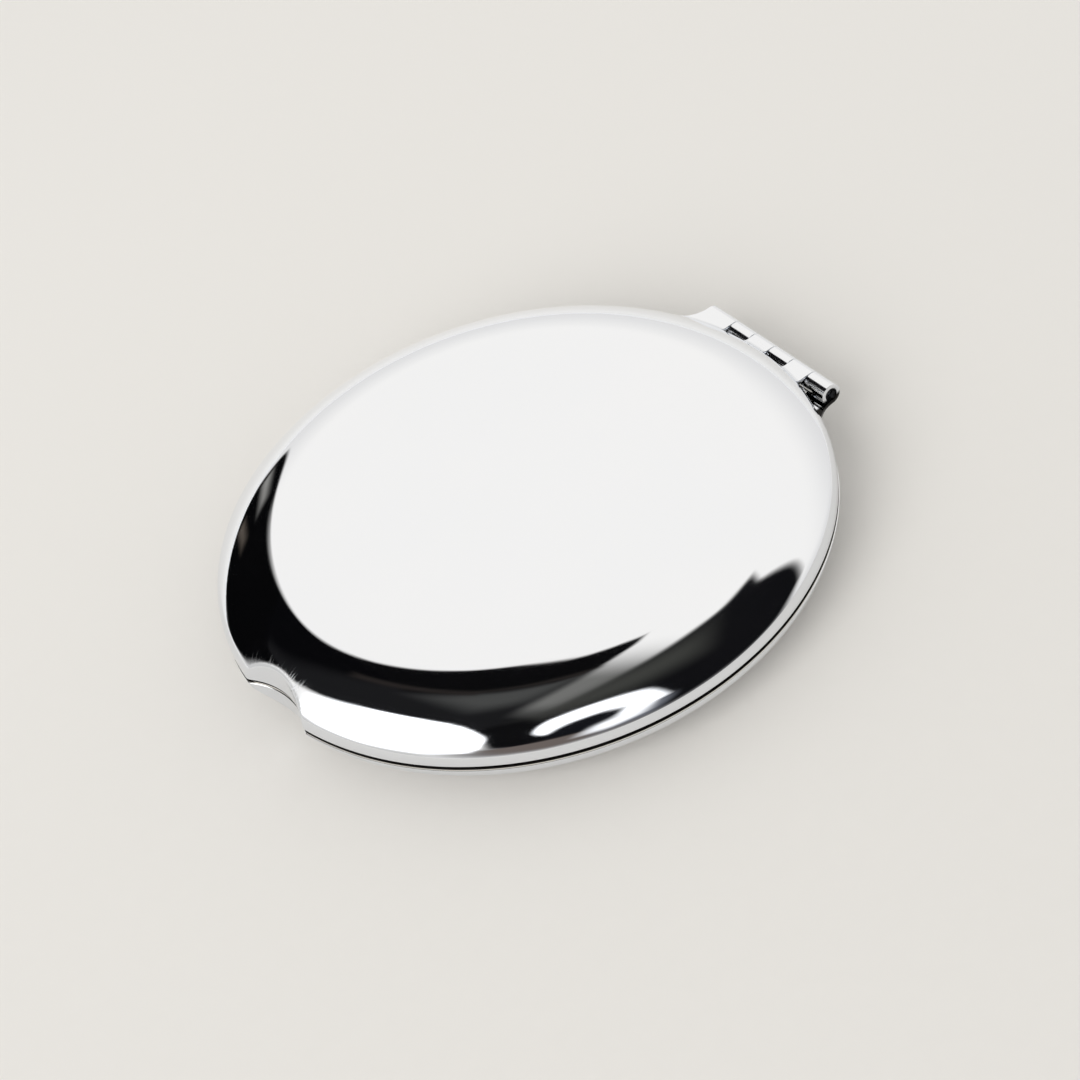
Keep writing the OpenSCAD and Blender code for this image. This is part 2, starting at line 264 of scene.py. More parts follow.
def knuckle(start, end, sweeps):
    """A knuckle rolled from the shell's own sheet: fillet, leaf and curl as one strip, drawn as its outer and its
    inner side. Each point holds a radius round the case, its share of the way from there to the hinge axis, its
    offset from that axis and its height. A sweep widens the leaf towards the wall beside an end knuckle."""
    leaf_low = BARREL_R - SHEET
    toward = math.atan2(FILLET_C[1] - RIM_C[1], FILLET_C[0] - RIM_C[0])
    root = (RIM_C[0] + 1.975 * math.cos(toward), RIM_C[1] + 1.975 * math.sin(toward))
    outer, inner = [(root[0], 0, 0, root[1])], [(32.47, 0, 0, leaf_low)]
    for t in np.linspace(0, 1, 9):
        turn = math.pi + toward + t * (math.pi / 2 - toward)
        r = FILLET_R + 0.03 * (1 - t)
        outer.append((FILLET_C[0] + r * math.cos(turn), 0, 0, FILLET_C[1] + r * math.sin(turn)))
        inner.append((32.5 + t * (FILLET_C[0] - 32.5), 0, 0, leaf_low))
    for t in (0.25, 0.5, 0.75, 0.97):
        outer.append((FILLET_C[0], t, 0, BARREL_R))
        inner.append((FILLET_C[0], t, 0, leaf_low))
    for turn in np.linspace(math.pi / 2, CURL_END - 2 * math.pi, 44):
        outer.append((0, 1, BARREL_R * math.cos(turn), BARREL_R * math.sin(turn)))
        inner.append((0, 1, BORE_R * math.cos(turn), BORE_R * math.sin(turn)))
    mid = (np.array(outer) + np.array(inner)) / 2
    full = np.array(outer + inner[::-1])
    slim = full + 0.28 * (np.concatenate([mid, mid[::-1]]) - full)

    def rim_of(x, sign, width, points):
        """The end face's place at each point: straight at the barrel, swept out over the leaf."""
        place = np.full(len(points), float(x))
        for _ in range(12):
            y = height_y(place, points)
            away = np.clip(HINGE_Y - y, 0, SWEEP_R - 1e-6)
            out = np.minimum(SWEEP_R - np.sqrt(SWEEP_R ** 2 - away ** 2), width)
            place = x + sign * np.where(points[:, 1] < 1, out, 0)
        return place

    def height_y(x, points):
        r = np.maximum(points[:, 0], np.abs(x) + 1e-6)
        return (1 - points[:, 1]) * np.sqrt(r ** 2 - x ** 2) + points[:, 1] * (HINGE_Y + points[:, 2])

    low, high = rim_of(start, -1, sweeps[0], full), rim_of(end, 1, sweeps[1], full)
    cuts = [(0, 0, slim), (0, KNUCKLE_BEVEL, full), *((share, 0, full) for share in (0.15, 0.32, 0.5, 0.68, 0.85)),
            (1, -KNUCKLE_BEVEL, full), (1, 0, slim)]
    rows = []
    for share, shift, points in cuts:
        x = low + share * (high - low) + shift
        rows.append(np.stack([x, height_y(x, points), points[:, 3]], 1))
    return loft("knuckle", rows, caps="paired")


# ---- frames, mirrors, bed and pin -------------------------------------------------------------------------------
ROUND = np.concatenate([np.arange(-77, 257, 1.0), np.arange(257, 283, 0.25)])


def frame_ring(name, face, edge, skirt, bead):
    """A pressed frame: lip over the mirror's edge, flat flange, skirt inside the shell and collar round the
    mirror. It steps back at the thumb notch, and the base's also at the barrel."""
    back = face + FRAME_T
    corner = FRAME_T / 10
    front = [[LIP_R, back - corner], [LIP_R, face + corner], [LIP_R + corner, face]]
    if bead:
        rise = math.acos(BEAD_DEEP / BEAD_R)
        crown = (LIP_R + BEAD_R, face + BEAD_DEEP)
        front = front[:2] + arc(crown, BEAD_R, -math.pi / 2 - rise, -math.pi / 2 + rise, 16).tolist()
        front[2][0] += 0.03
        front += [[29.06, face + 0.004], [29.2, face]]
    front += [[r, face] for r in (30, 30.8, 31.5, edge - 0.35, edge - 0.12)]
    front += arc((edge - corner, face + corner), corner, -math.pi / 2, 0, 4).tolist()
    if skirt < edge - 0.1:
        front += [[edge, back - corner], [edge - corner, back], [skirt + 0.06, back], [skirt, back + 0.06]]
    within, collar, fold = skirt - FRAME_T, COLLAR_R + FRAME_T, 0.06
    front += [[skirt, back + SKIRT_H - 0.04], [skirt - corner, back + SKIRT_H], [within + corner, back + SKIRT_H],
              [within, back + SKIRT_H - 0.08], [within, back + fold], [within - fold, back],
              [collar + fold, back], [collar, back + fold], [collar, back + COLLAR_H - fold],
              [collar - fold, back + COLLAR_H], [COLLAR_R + fold, back + COLLAR_H],
              [COLLAR_R, back + COLLAR_H - fold], [COLLAR_R, back]]
    points = np.array(front)
    on_flange = (points[:, 0] > 30) & (points[:, 1] < back + 0.03) & (points[:, 0] > skirt - 0.3)
    on_inner = (points[:, 0] > 30) & (points[:, 1] > back - 0.01) & (points[:, 0] < skirt - 0.2)
    # how far each point keeps from the shell's notch wall
    inset = np.where(on_flange & bool(bead), 0.06, np.where(on_inner, 0.85, 0.52))
    held = points[:, 0] > 30.9

    def reach(radius, depth, angle):
        limit = notch_wall(angle, depth, inset[None, :] * math.cos(NOTCH_LEAN))
        kept = np.where(held[None, :], pressed(radius, limit), np.minimum(radius, limit))
        if bead:
            x = 32.6 * np.cos(angle)
            at_barrel = (x > BARREL_ROOM[0]) & (x < BARREL_ROOM[1]) & (np.sin(angle) > 0)
            kept = np.where(at_barrel, np.minimum(kept, skirt), kept)
        return kept

    return turned(name, points, ROUND, reach, ring=True)


def peg(name, radius, start, end, dome=False, sides=32):
    """A small round peg that stands along the depth on the case's axis."""
    profile = [[0, start], [radius, start]]
    if dome:
        profile += arc((0, end), radius, 0, -math.pi / 2, 10).tolist()
    else:
        profile += [[radius, end], [0, end]]
    return turned(name, profile, np.arange(0, 360, 360 / sides), ring=True, loop=False)


def set_out(body, material, count=2, reach=CATCH_REACH, spread=CATCH_SPREAD):
    """Copies of a small piece along an arc of the rim, with the notch at its middle, set out by Geometry Nodes."""
    tree = bpy.data.node_groups.new(body.name + "_row", "GeometryNodeTree")
    for label, way, kind in (("Piece", "INPUT", "Geometry"), ("Count", "INPUT", "Int"), ("Reach", "INPUT", "Float"),
                             ("Spread", "INPUT", "Float"), ("Pieces", "OUTPUT", "Geometry")):
        tree.interface.new_socket(label, in_out=way, socket_type="NodeSocket" + kind)
    made = {kind: tree.nodes.new(kind) for kind in (
        "NodeGroupInput", "GeometryNodeCurveArc", "ShaderNodeMath", "GeometryNodeInstanceOnPoints",
        "GeometryNodeRealizeInstances", "GeometryNodeSetMaterial", "NodeGroupOutput")}
    given, rim, first, copies, real, coat, result = made.values()
    # the arc starts half its spread before the front of the case
    first.operation = "MULTIPLY_ADD"
    first.inputs[1].default_value, first.inputs[2].default_value = -0.5, -math.pi / 2
    coat.inputs["Material"].default_value = material
    for source, target in (
            (given.outputs["Count"], rim.inputs["Resolution"]), (given.outputs["Reach"], rim.inputs["Radius"]),
            (given.outputs["Spread"], rim.inputs["Sweep Angle"]), (given.outputs["Spread"], first.inputs[0]),
            (first.outputs[0], rim.inputs["Start Angle"]), (rim.outputs["Curve"], copies.inputs["Points"]),
            (given.outputs["Piece"], copies.inputs["Instance"]), (copies.outputs[0], real.inputs[0]),
            (real.outputs[0], coat.inputs["Geometry"]), (coat.outputs[0], result.inputs[0])):
        tree.links.new(source, target)
    modifier = body.modifiers.new("set_out", "NODES")
    modifier.node_group = tree
    sizes = {"Count": count, "Reach": reach, "Spread": math.radians(spread)}
    for item in tree.interface.items_tree:
        if item.name in sizes:
            modifier[item.identifier] = sizes[item.name]
    return plainly(body)


def mirror_glass(name, front, back):
    """A round mirror with an arrised edge. front and back give the depth at a radius."""
    radii = np.linspace(0, MIRROR_R - ARRIS, 30)
    profile = [[r, front(r)] for r in radii]
    profile += [[MIRROR_R, front(MIRROR_R) + ARRIS], [MIRROR_R, back(MIRROR_R) - ARRIS]]
    profile += [[r, back(r)] for r in radii[::-1]]
    return turned(name, profile, np.arange(0, 360, 1.2), ring=True, loop=False)


def bowl(radius):
    """Depth, at a distance from the axis, of a hollow face of the magnifying mirror."""
    return lambda r: BOWL_FACE - BOWL_R + math.sqrt(radius ** 2 - r * r)


def foam_disc(name, top, low):
    """A foam pad pressed between glass and board, so that its cut edge bulges a little."""
    cut = PAD_R - PAD_BULGE
    profile = [[r, top(r)] for r in np.linspace(0, cut, 16)]
    height = low - top(PAD_R)
    for turn in np.linspace(-math.pi / 2, math.pi / 2, 9):
        profile.append([cut + PAD_BULGE * math.cos(turn), low - height / 2 + height / 2 * math.sin(turn)])
    profile += [[r, low] for r in np.linspace(cut, 0, 8)]
    return turned(name, profile, np.arange(0, 360, 2), ring=True, loop=False)


def wire_pin(name):
    """Drawn steel wire, cut and lightly chamfered, along the barrel."""
    turn = np.linspace(0, 2 * math.pi, 40, endpoint=False)
    rows = []
    for x, r in ((-9.1, 0.01), (-9.1, 0.56), (-9.06, 0.64), (-8.98, PIN_R), (-4, PIN_R), (0, PIN_R), (4, PIN_R),
                 (9.38, PIN_R), (9.46, 0.64), (9.5, 0.56), (9.5, 0.01)):
        rows.append(np.stack([np.full(40, x), HINGE_Y + r * np.cos(turn), r * np.sin(turn)], 1))
    return loft(name, rows, caps="flat")


def finish_piece(body, side, parts, materials, nodes, smooth=35):
    """Sets a piece on its side of the parting plane, in metres, with its finish, in place of its CAD nodes."""
    mirror = Matrix.Scale(-1, 4, (0, 0, 1)) if side == "base" else Matrix.Identity(4)
    body.data.transform(Matrix.Scale(MM, 4) @ Matrix.Translation((0, 0, HALF)) @ mirror)
    if side == "base":
        body.data.flip_normals()
    body.data.materials.clear()
    for material in materials:
        body.data.materials.append(material)
    body.data.polygons.foreach_set("use_smooth", [True] * len(body.data.polygons))
    body.data.set_sharp_from_angle(angle=math.radians(smooth))
    body.data.update()
    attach(body, parts)
    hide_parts(*nodes)
    return body


# ---- materials --------------------------------------------------------------------------------------------------
def linear(code):
    """An sRGB hex colour as linear red, green, blue and alpha."""
    values = [int(code[i:i + 2], 16) / 255 for i in (1, 3, 5)]
    return [v / 12.92 if v <= 0.04045 else ((v + 0.055) / 1.055) ** 2.4 for v in values] + [1.0]


def add(tree, kind, settings=None, inputs=None):
    """Adds a node. A value that is another node's output is linked, and any other is set."""
    made = tree.nodes.new("ShaderNode" + kind)
    for key, value in (settings or {}).items():
        setattr(made, key, value)
    for key, value in (inputs or {}).items():
        if isinstance(value, bpy.types.NodeSocket):
            tree.links.new(value, made.inputs[key])
        else:
            made.inputs[key].default_value = value
    return made


def finish(name, **fixed):
    """A material with a Principled shader whose fixed values are set on its own sockets."""
    material = bpy.data.materials.new(name)
    material.use_nodes = True
    tree = material.node_tree
    tree.nodes.clear()
    shader = add(tree, "BsdfPrincipled", inputs={k.replace("_", " "): v for k, v in fixed.items()})
    add(tree, "OutputMaterial", inputs={"Surface": shader.outputs[0]})
    place = add(tree, "TexCoord").outputs["Object"]
    return material, tree, shader, place


def dress(tree, shader, tint, rough, bump=None):
    """Joins a material's colour, roughness and relief to its shader."""
    tree.links.new(tint.outputs[2], shader.inputs["Base Color"])
    tree.links.new(rough.outputs[0], shader.inputs["Roughness"])
    if bump:
        tree.links.new(bump.outputs[0], shader.inputs["Normal"])


def math_of(tree, operation, *values):
    """The result of one sum on numbers or nodes' outputs."""
    return add(tree, "Math", {"operation": operation}, dict(enumerate(values))).outputs[0]


def polished_chrome():
    """Bright chrome over pressed steel, buffed on a wheel: near mirror, with faint hairlines round the case about
    0.2 mm apart, and large soft patches where the buffing is a little duller."""
    material, tree, shader, place = finish("polished_chrome_plate", Metallic=1.0)
    parts = add(tree, "SeparateXYZ", inputs={0: place})
    x, y, z = parts.outputs
    spread = math_of(tree, "ARCTAN2", y, x)
    flat = add(tree, "CombineXYZ", inputs={0: x, 1: y, 2: 0.0}).outputs[0]
    radius = add(tree, "VectorMath", {"operation": "LENGTH"}, {0: flat}).outputs["Value"]
    # 0.2 mm between hairlines is 5000 to the metre, and one runs for about 12 mm
    across = math_of(tree, "MULTIPLY", radius, 5000.0)
    along = math_of(tree, "MULTIPLY", spread, 2.6)
    up = math_of(tree, "MULTIPLY", z, 5000.0)
    stretched = add(tree, "CombineXYZ", inputs={0: across, 1: along, 2: up}).outputs[0]
    hair = add(tree, "TexNoise", inputs={"Vector": stretched, "Scale": 1.0, "Detail": 2.0, "Roughness": 0.6})
    # dull patches are about 15 mm wide
    patch = add(tree, "TexNoise", inputs={"Vector": place, "Scale": 65.0, "Detail": 3.0, "Roughness": 0.55})
    worn = add(tree, "MapRange", inputs={0: patch.outputs[0], 1: 0.35, 2: 0.75, 3: 0.022, 4: 0.05})
    lined = add(tree, "MapRange", inputs={0: hair.outputs[0], 1: 0.4, 2: 0.8, 3: 0.0, 4: 0.02})
    rough = math_of(tree, "ADD", worn.outputs[0], lined.outputs[0])
    # the buffing wheel does not reach the rolled barrel, 32.6 mm and more from the axis on its side
    rolled = add(tree, "MapRange", inputs={0: y, 1: 0.0324, 2: 0.0331, 4: 0.09})
    rough = math_of(tree, "ADD", rough, rolled.outputs[0])
    tint = add(tree, "Mix", {"data_type": "RGBA"},
               {0: patch.outputs[0], 6: linear("#e5e8ed"), 7: linear("#e8eaee")})
    # the corners of the base beside the barrel's ends are painted near black: painted shade for the shadowed hollow
    # there
    beside = math_of(tree, "ABSOLUTE", x)
    painted_crevice_shade = None
    for source, start, end in ((beside, 0.0099, 0.0102), (y, 0.0308, 0.0313), (z, 0.00575, 0.0054)):
        edge = add(tree, "MapRange", inputs={0: source, 1: start, 2: end}).outputs[0]
        painted_crevice_shade = edge if painted_crevice_shade is None else math_of(tree, "MULTIPLY", painted_crevice_shade, edge)
    bent = add(tree, "MapRange", inputs={0: beside, 1: 0.0124, 2: 0.0132, 3: 1.0, 4: 0.0}).outputs[0]
    painted_crevice_shade = math_of(tree, "MULTIPLY", painted_crevice_shade, bent)
    # painted shade: the chrome's tint goes to near black inside that mask
    tint = add(tree, "Mix", {"data_type": "RGBA"}, {0: painted_crevice_shade, 6: tint.outputs[2], 7: linear("#232221")})
    bump = add(tree, "Bump", inputs={"Strength": 0.05, "Distance": 0.00001, "Height": hair.outputs[0]})
    # the thumb notch's round is dressed by hand, which leaves short lines across it about 0.15 mm apart
    behind = math_of(tree, "ADD", y, NOTCH_Y * MM)
    from_notch = add(tree, "CombineXYZ", inputs={0: x, 1: behind, 2: 0.0}).outputs[0]
    out = add(tree, "VectorMath", {"operation": "LENGTH"}, {0: from_notch}).outputs["Value"]
    turn = add(tree, "VectorMath", {"operation": "NORMALIZE"}, {0: from_notch}).outputs["Vector"]
    # 9 mm from its axis, 0.15 mm is a sixtieth of a radian, and a line runs for 2 to 3 mm
    stroke = add(tree, "VectorMath", {"operation": "SCALE"}, {0: turn, "Scale": 60.0}).outputs["Vector"]
    length = add(tree, "CombineXYZ", inputs={2: math_of(tree, "MULTIPLY", out, 400.0)}).outputs[0]
    stroke = add(tree, "VectorMath", {"operation": "ADD"}, {0: stroke, 1: length}).outputs["Vector"]
    strokes = add(tree, "TexNoise", inputs={"Vector": stroke, "Scale": 1.0, "Detail": 2.0, "Roughness": 0.7})
    dressed = add(tree, "MapRange", {"interpolation_type": "SMOOTHSTEP"},
                  {0: out, 1: 0.0092, 2: 0.0108, 3: 0.2, 4: 0.0}).outputs[0]
    bump = add(tree, "Bump", inputs={"Strength": dressed, "Distance": 0.00002, "Height": strokes.outputs[0],
                                     "Normal": bump.outputs[0]})
    scored = add(tree, "MapRange", inputs={0: strokes.outputs[0], 1: 0.54, 2: 0.66}).outputs[0]
    # most of them lie to the right of the notch's crest, and they score the plate up to 2 mm from its edge
    fading = add(tree, "MapRange", {"interpolation_type": "SMOOTHSTEP"},
                 {0: out, 1: 0.0095, 2: 0.0116, 3: 0.3, 4: 0.0}).outputs[0]
    aside = add(tree, "MapRange", inputs={0: x, 1: -0.001, 2: 0.0015, 3: 0.5, 4: 1.0}).outputs[0]
    for share in (fading, aside):
        scored = math_of(tree, "MULTIPLY", scored, share)
    rough = add(tree, "Math", {"operation": "ADD"}, {0: rough, 1: scored})
    dress(tree, shader, tint, rough, bump)
    return material


def bright_nickel():
    """Nickel-plated pressed steel, tumbled bright: a little warmer and softer than the chrome, with a fine
    orange-peel of about 0.6 mm."""
    material, tree, shader, place = finish("bright_nickel_plate", Metallic=1.0)
    peel = add(tree, "TexNoise", inputs={"Vector": place, "Scale": 1700.0, "Detail": 2.0})
    cloud = add(tree, "TexNoise", inputs={"Vector": place, "Scale": 120.0, "Detail": 3.0})
    rough = add(tree, "MapRange", inputs={0: cloud.outputs[0], 1: 0.3, 2: 0.75, 3: 0.08, 4: 0.17})
    tint = add(tree, "Mix", {"data_type": "RGBA"},
               {0: cloud.outputs[0], 6: linear("#dcd9d3"), 7: linear("#e2e0dc")})
    # in the closed seam the flange is painted dark, a painted shade for the shadowed gap, and made matt: from 32.5 mm
    # out, and down to half of its edge
    parts = add(tree, "SeparateXYZ", inputs={0: place})
    flat = add(tree, "CombineXYZ", inputs={0: parts.outputs[0], 1: parts.outputs[1], 2: 0.0}).outputs[0]
    radius = add(tree, "VectorMath", {"operation": "LENGTH"}, {0: flat}).outputs["Value"]
    starts = add(tree, "MapRange", inputs={0: radius, 1: 0.0324, 2: 0.0326}).outputs[0]
    upper = add(tree, "MapRange", inputs={0: parts.outputs[2], 1: 0.00545, 2: 0.00547}).outputs[0]
    painted_seam_shade = math_of(tree, "MULTIPLY", starts, upper)
    # painted shade: the flange's tint goes to near black in the seam
    tint = add(tree, "Mix", {"data_type": "RGBA"}, {0: painted_seam_shade, 6: tint.outputs[2], 7: linear("#1d1b1a")})
    rough = add(tree, "MapRange", inputs={0: painted_seam_shade, 3: rough.outputs[0], 4: 0.6})
    bump = add(tree, "Bump", inputs={"Strength": 0.12, "Distance": 0.00002, "Height": peel.outputs[0]})
    dress(tree, shader, tint, rough, bump)
    return material


def silvered_glass():
    """Float glass silvered behind: a cool, clean mirror under a clear polished face, with the faintest haze of
    handling some 8 mm wide."""
    material, tree, shader, place = finish(
        "silvered_float_glass", Metallic=1.0, Coat_Weight=0.25, Coat_Roughness=0.01, Coat_IOR=1.52)
    haze = add(tree, "TexNoise", inputs={"Vector": place, "Scale": 130.0, "Detail": 4.0, "Roughness": 0.6})
    rough = add(tree, "MapRange", inputs={0: haze.outputs[0], 1: 0.4, 2: 0.8, 3: 0.004, 4: 0.02})
    tint = add(tree, "Mix", {"data_type": "RGBA"},
               {0: haze.outputs[0], 6: linear("#e4ebe9"), 7: linear("#e8eded")})
    dress(tree, shader, tint, rough)
    return material


def ground_glass():
    """The mirror's ground edge and painted back: grey-green, matt, with grinding marks of about 0.3 mm."""
    material, tree, shader, place = finish("ground_glass_and_backing_paint", IOR=1.5)
    grind = add(tree, "TexNoise", inputs={"Vector": place, "Scale": 3300.0, "Detail": 3.0})
    tint = add(tree, "Mix", {"data_type": "RGBA"},
               {0: grind.outputs[0], 6: linear("#7d8f8a"), 7: linear("#a3b2ad")})
    rough = add(tree, "MapRange", inputs={0: grind.outputs[0], 3: 0.45, 4: 0.7})
    bump = add(tree, "Bump", inputs={"Strength": 0.3, "Distance": 0.00003, "Height": grind.outputs[0]})
    dress(tree, shader, tint, rough, bump)
    return material


def drawn_steel():
    """Bare drawn steel wire under a trace of oil, with draw lines along the pin about 0.1 mm apart; its colour is
    painted near black, a painted shade for the dark bore it lies in.
    """
    material, tree, shader, place = finish("drawn_steel_wire", Metallic=1.0)
    drawn = add(tree, "Mapping", inputs={"Vector": place, "Scale": (0.02, 1.0, 1.0)})
    lines = add(tree, "TexNoise", inputs={"Vector": drawn.outputs[0], "Scale": 10000.0, "Detail": 2.0})
    # painted shade: the steel's colour is set near black for the shaded bore
    tint = add(tree, "Mix", {"data_type": "RGBA"},
               {0: lines.outputs[0], 6: linear("#2c2c2d"), 7: linear("#454547")})
    rough = add(tree, "MapRange", inputs={0: lines.outputs[0], 3: 0.24, 4: 0.4})
    bump = add(tree, "Bump", inputs={"Strength": 0.2, "Distance": 0.00001, "Height": lines.outputs[0]})
    dress(tree, shader, tint, rough, bump)
    return material


def closed_cell_foam():
    """Closed-cell polyethylene foam, cut: matt grey with cells of about 0.25 mm."""
    material, tree, shader, place = finish("closed_cell_foam", IOR=1.5, Sheen_Weight=0.1)
    cells = add(tree, "TexVoronoi", inputs={"Vector": place, "Scale": 4000.0})
    tint = add(tree, "Mix", {"data_type": "RGBA"},
               {0: cells.outputs["Distance"], 6: linear("#4c4d50"), 7: linear("#6c6d70")})
    rough = add(tree, "MapRange", inputs={0: cells.outputs["Distance"], 3: 0.8, 4: 0.95})
    bump = add(tree, "Bump", inputs={"Strength": 0.5, "Distance": 0.00008, "Height": cells.outputs["Distance"]})
    dress(tree, shader, tint, rough, bump)
    return material


def pressed_greyboard():
    """Greyboard of pressed waste paper: flecked and matt, with fibres about 0.8 mm long."""
    material, tree, shader, place = finish("pressed_greyboard", IOR=1.45)
    fibre = add(tree, "TexNoise", inputs={"Vector": place, "Scale": 1250.0, "Detail": 5.0, "Distortion": 1.5})
    tint = add(tree, "Mix", {"data_type": "RGBA"},
               {0: fibre.outputs[0], 6: linear("#837d74"), 7: linear("#aca69b")})
    rough = add(tree, "MapRange", inputs={0: fibre.outputs[0], 3: 0.82, 4: 0.96})
    bump = add(tree, "Bump", inputs={"Strength": 0.4, "Distance": 0.00006, "Height": fibre.outputs[0]})
    dress(tree, shader, tint, rough, bump)
    return material


def acrylic_adhesive():
    """Double-sided acrylic adhesive sheet: milky amber with a soft gloss, wetted out in patches some 3 mm wide."""
    material, tree, shader, place = finish("acrylic_adhesive_sheet", IOR=1.47)
    wet = add(tree, "TexNoise", inputs={"Vector": place, "Scale": 330.0, "Detail": 3.0})
    tint = add(tree, "Mix", {"data_type": "RGBA"},
               {0: wet.outputs[0], 6: linear("#c9bd94"), 7: linear("#dcd3b4")})
    rough = add(tree, "MapRange", inputs={0: wet.outputs[0], 3: 0.25, 4: 0.5})
    bump = add(tree, "Bump", inputs={"Strength": 0.15, "Distance": 0.00005, "Height": wet.outputs[0]})
    dress(tree, shader, tint, rough, bump)
    return material


# ---- the camera, floor and light --------------------------------------------------------------------------------
AZIMUTH, ELEVATION, ROLL = math.radians(64.4), math.radians(42.9), math.radians(17.47)
TOWARD = Vector((math.sin(AZIMUTH), -math.cos(AZIMUTH), 0))
ACROSS = Vector((math.cos(AZIMUTH), math.sin(AZIMUTH), 0))
EYE, LENS = (0.2420, -0.1147, 0.2523), 116.67


def camera():
    """The camera, turned a little about its own line of sight."""
    back = TOWARD * math.cos(ELEVATION) + Vector((0, 0, math.sin(ELEVATION)))
    over = back.cross(ACROSS)
    side = ACROSS * math.cos(ROLL) - over * math.sin(ROLL)
    high = ACROSS * math.sin(ROLL) + over * math.cos(ROLL)
    data = bpy.data.cameras.new("camera")
    data.lens, data.sensor_width, data.clip_start, data.clip_end = LENS, 36.0, 0.01, 20.0
    eye = bpy.data.objects.new("camera", data)
    bpy.context.scene.collection.objects.link(eye)
    turn = Matrix((side, high, back)).transposed().to_4x4()
    eye.matrix_world = Matrix.Translation(EYE) @ turn
    bpy.context.scene.camera = eye


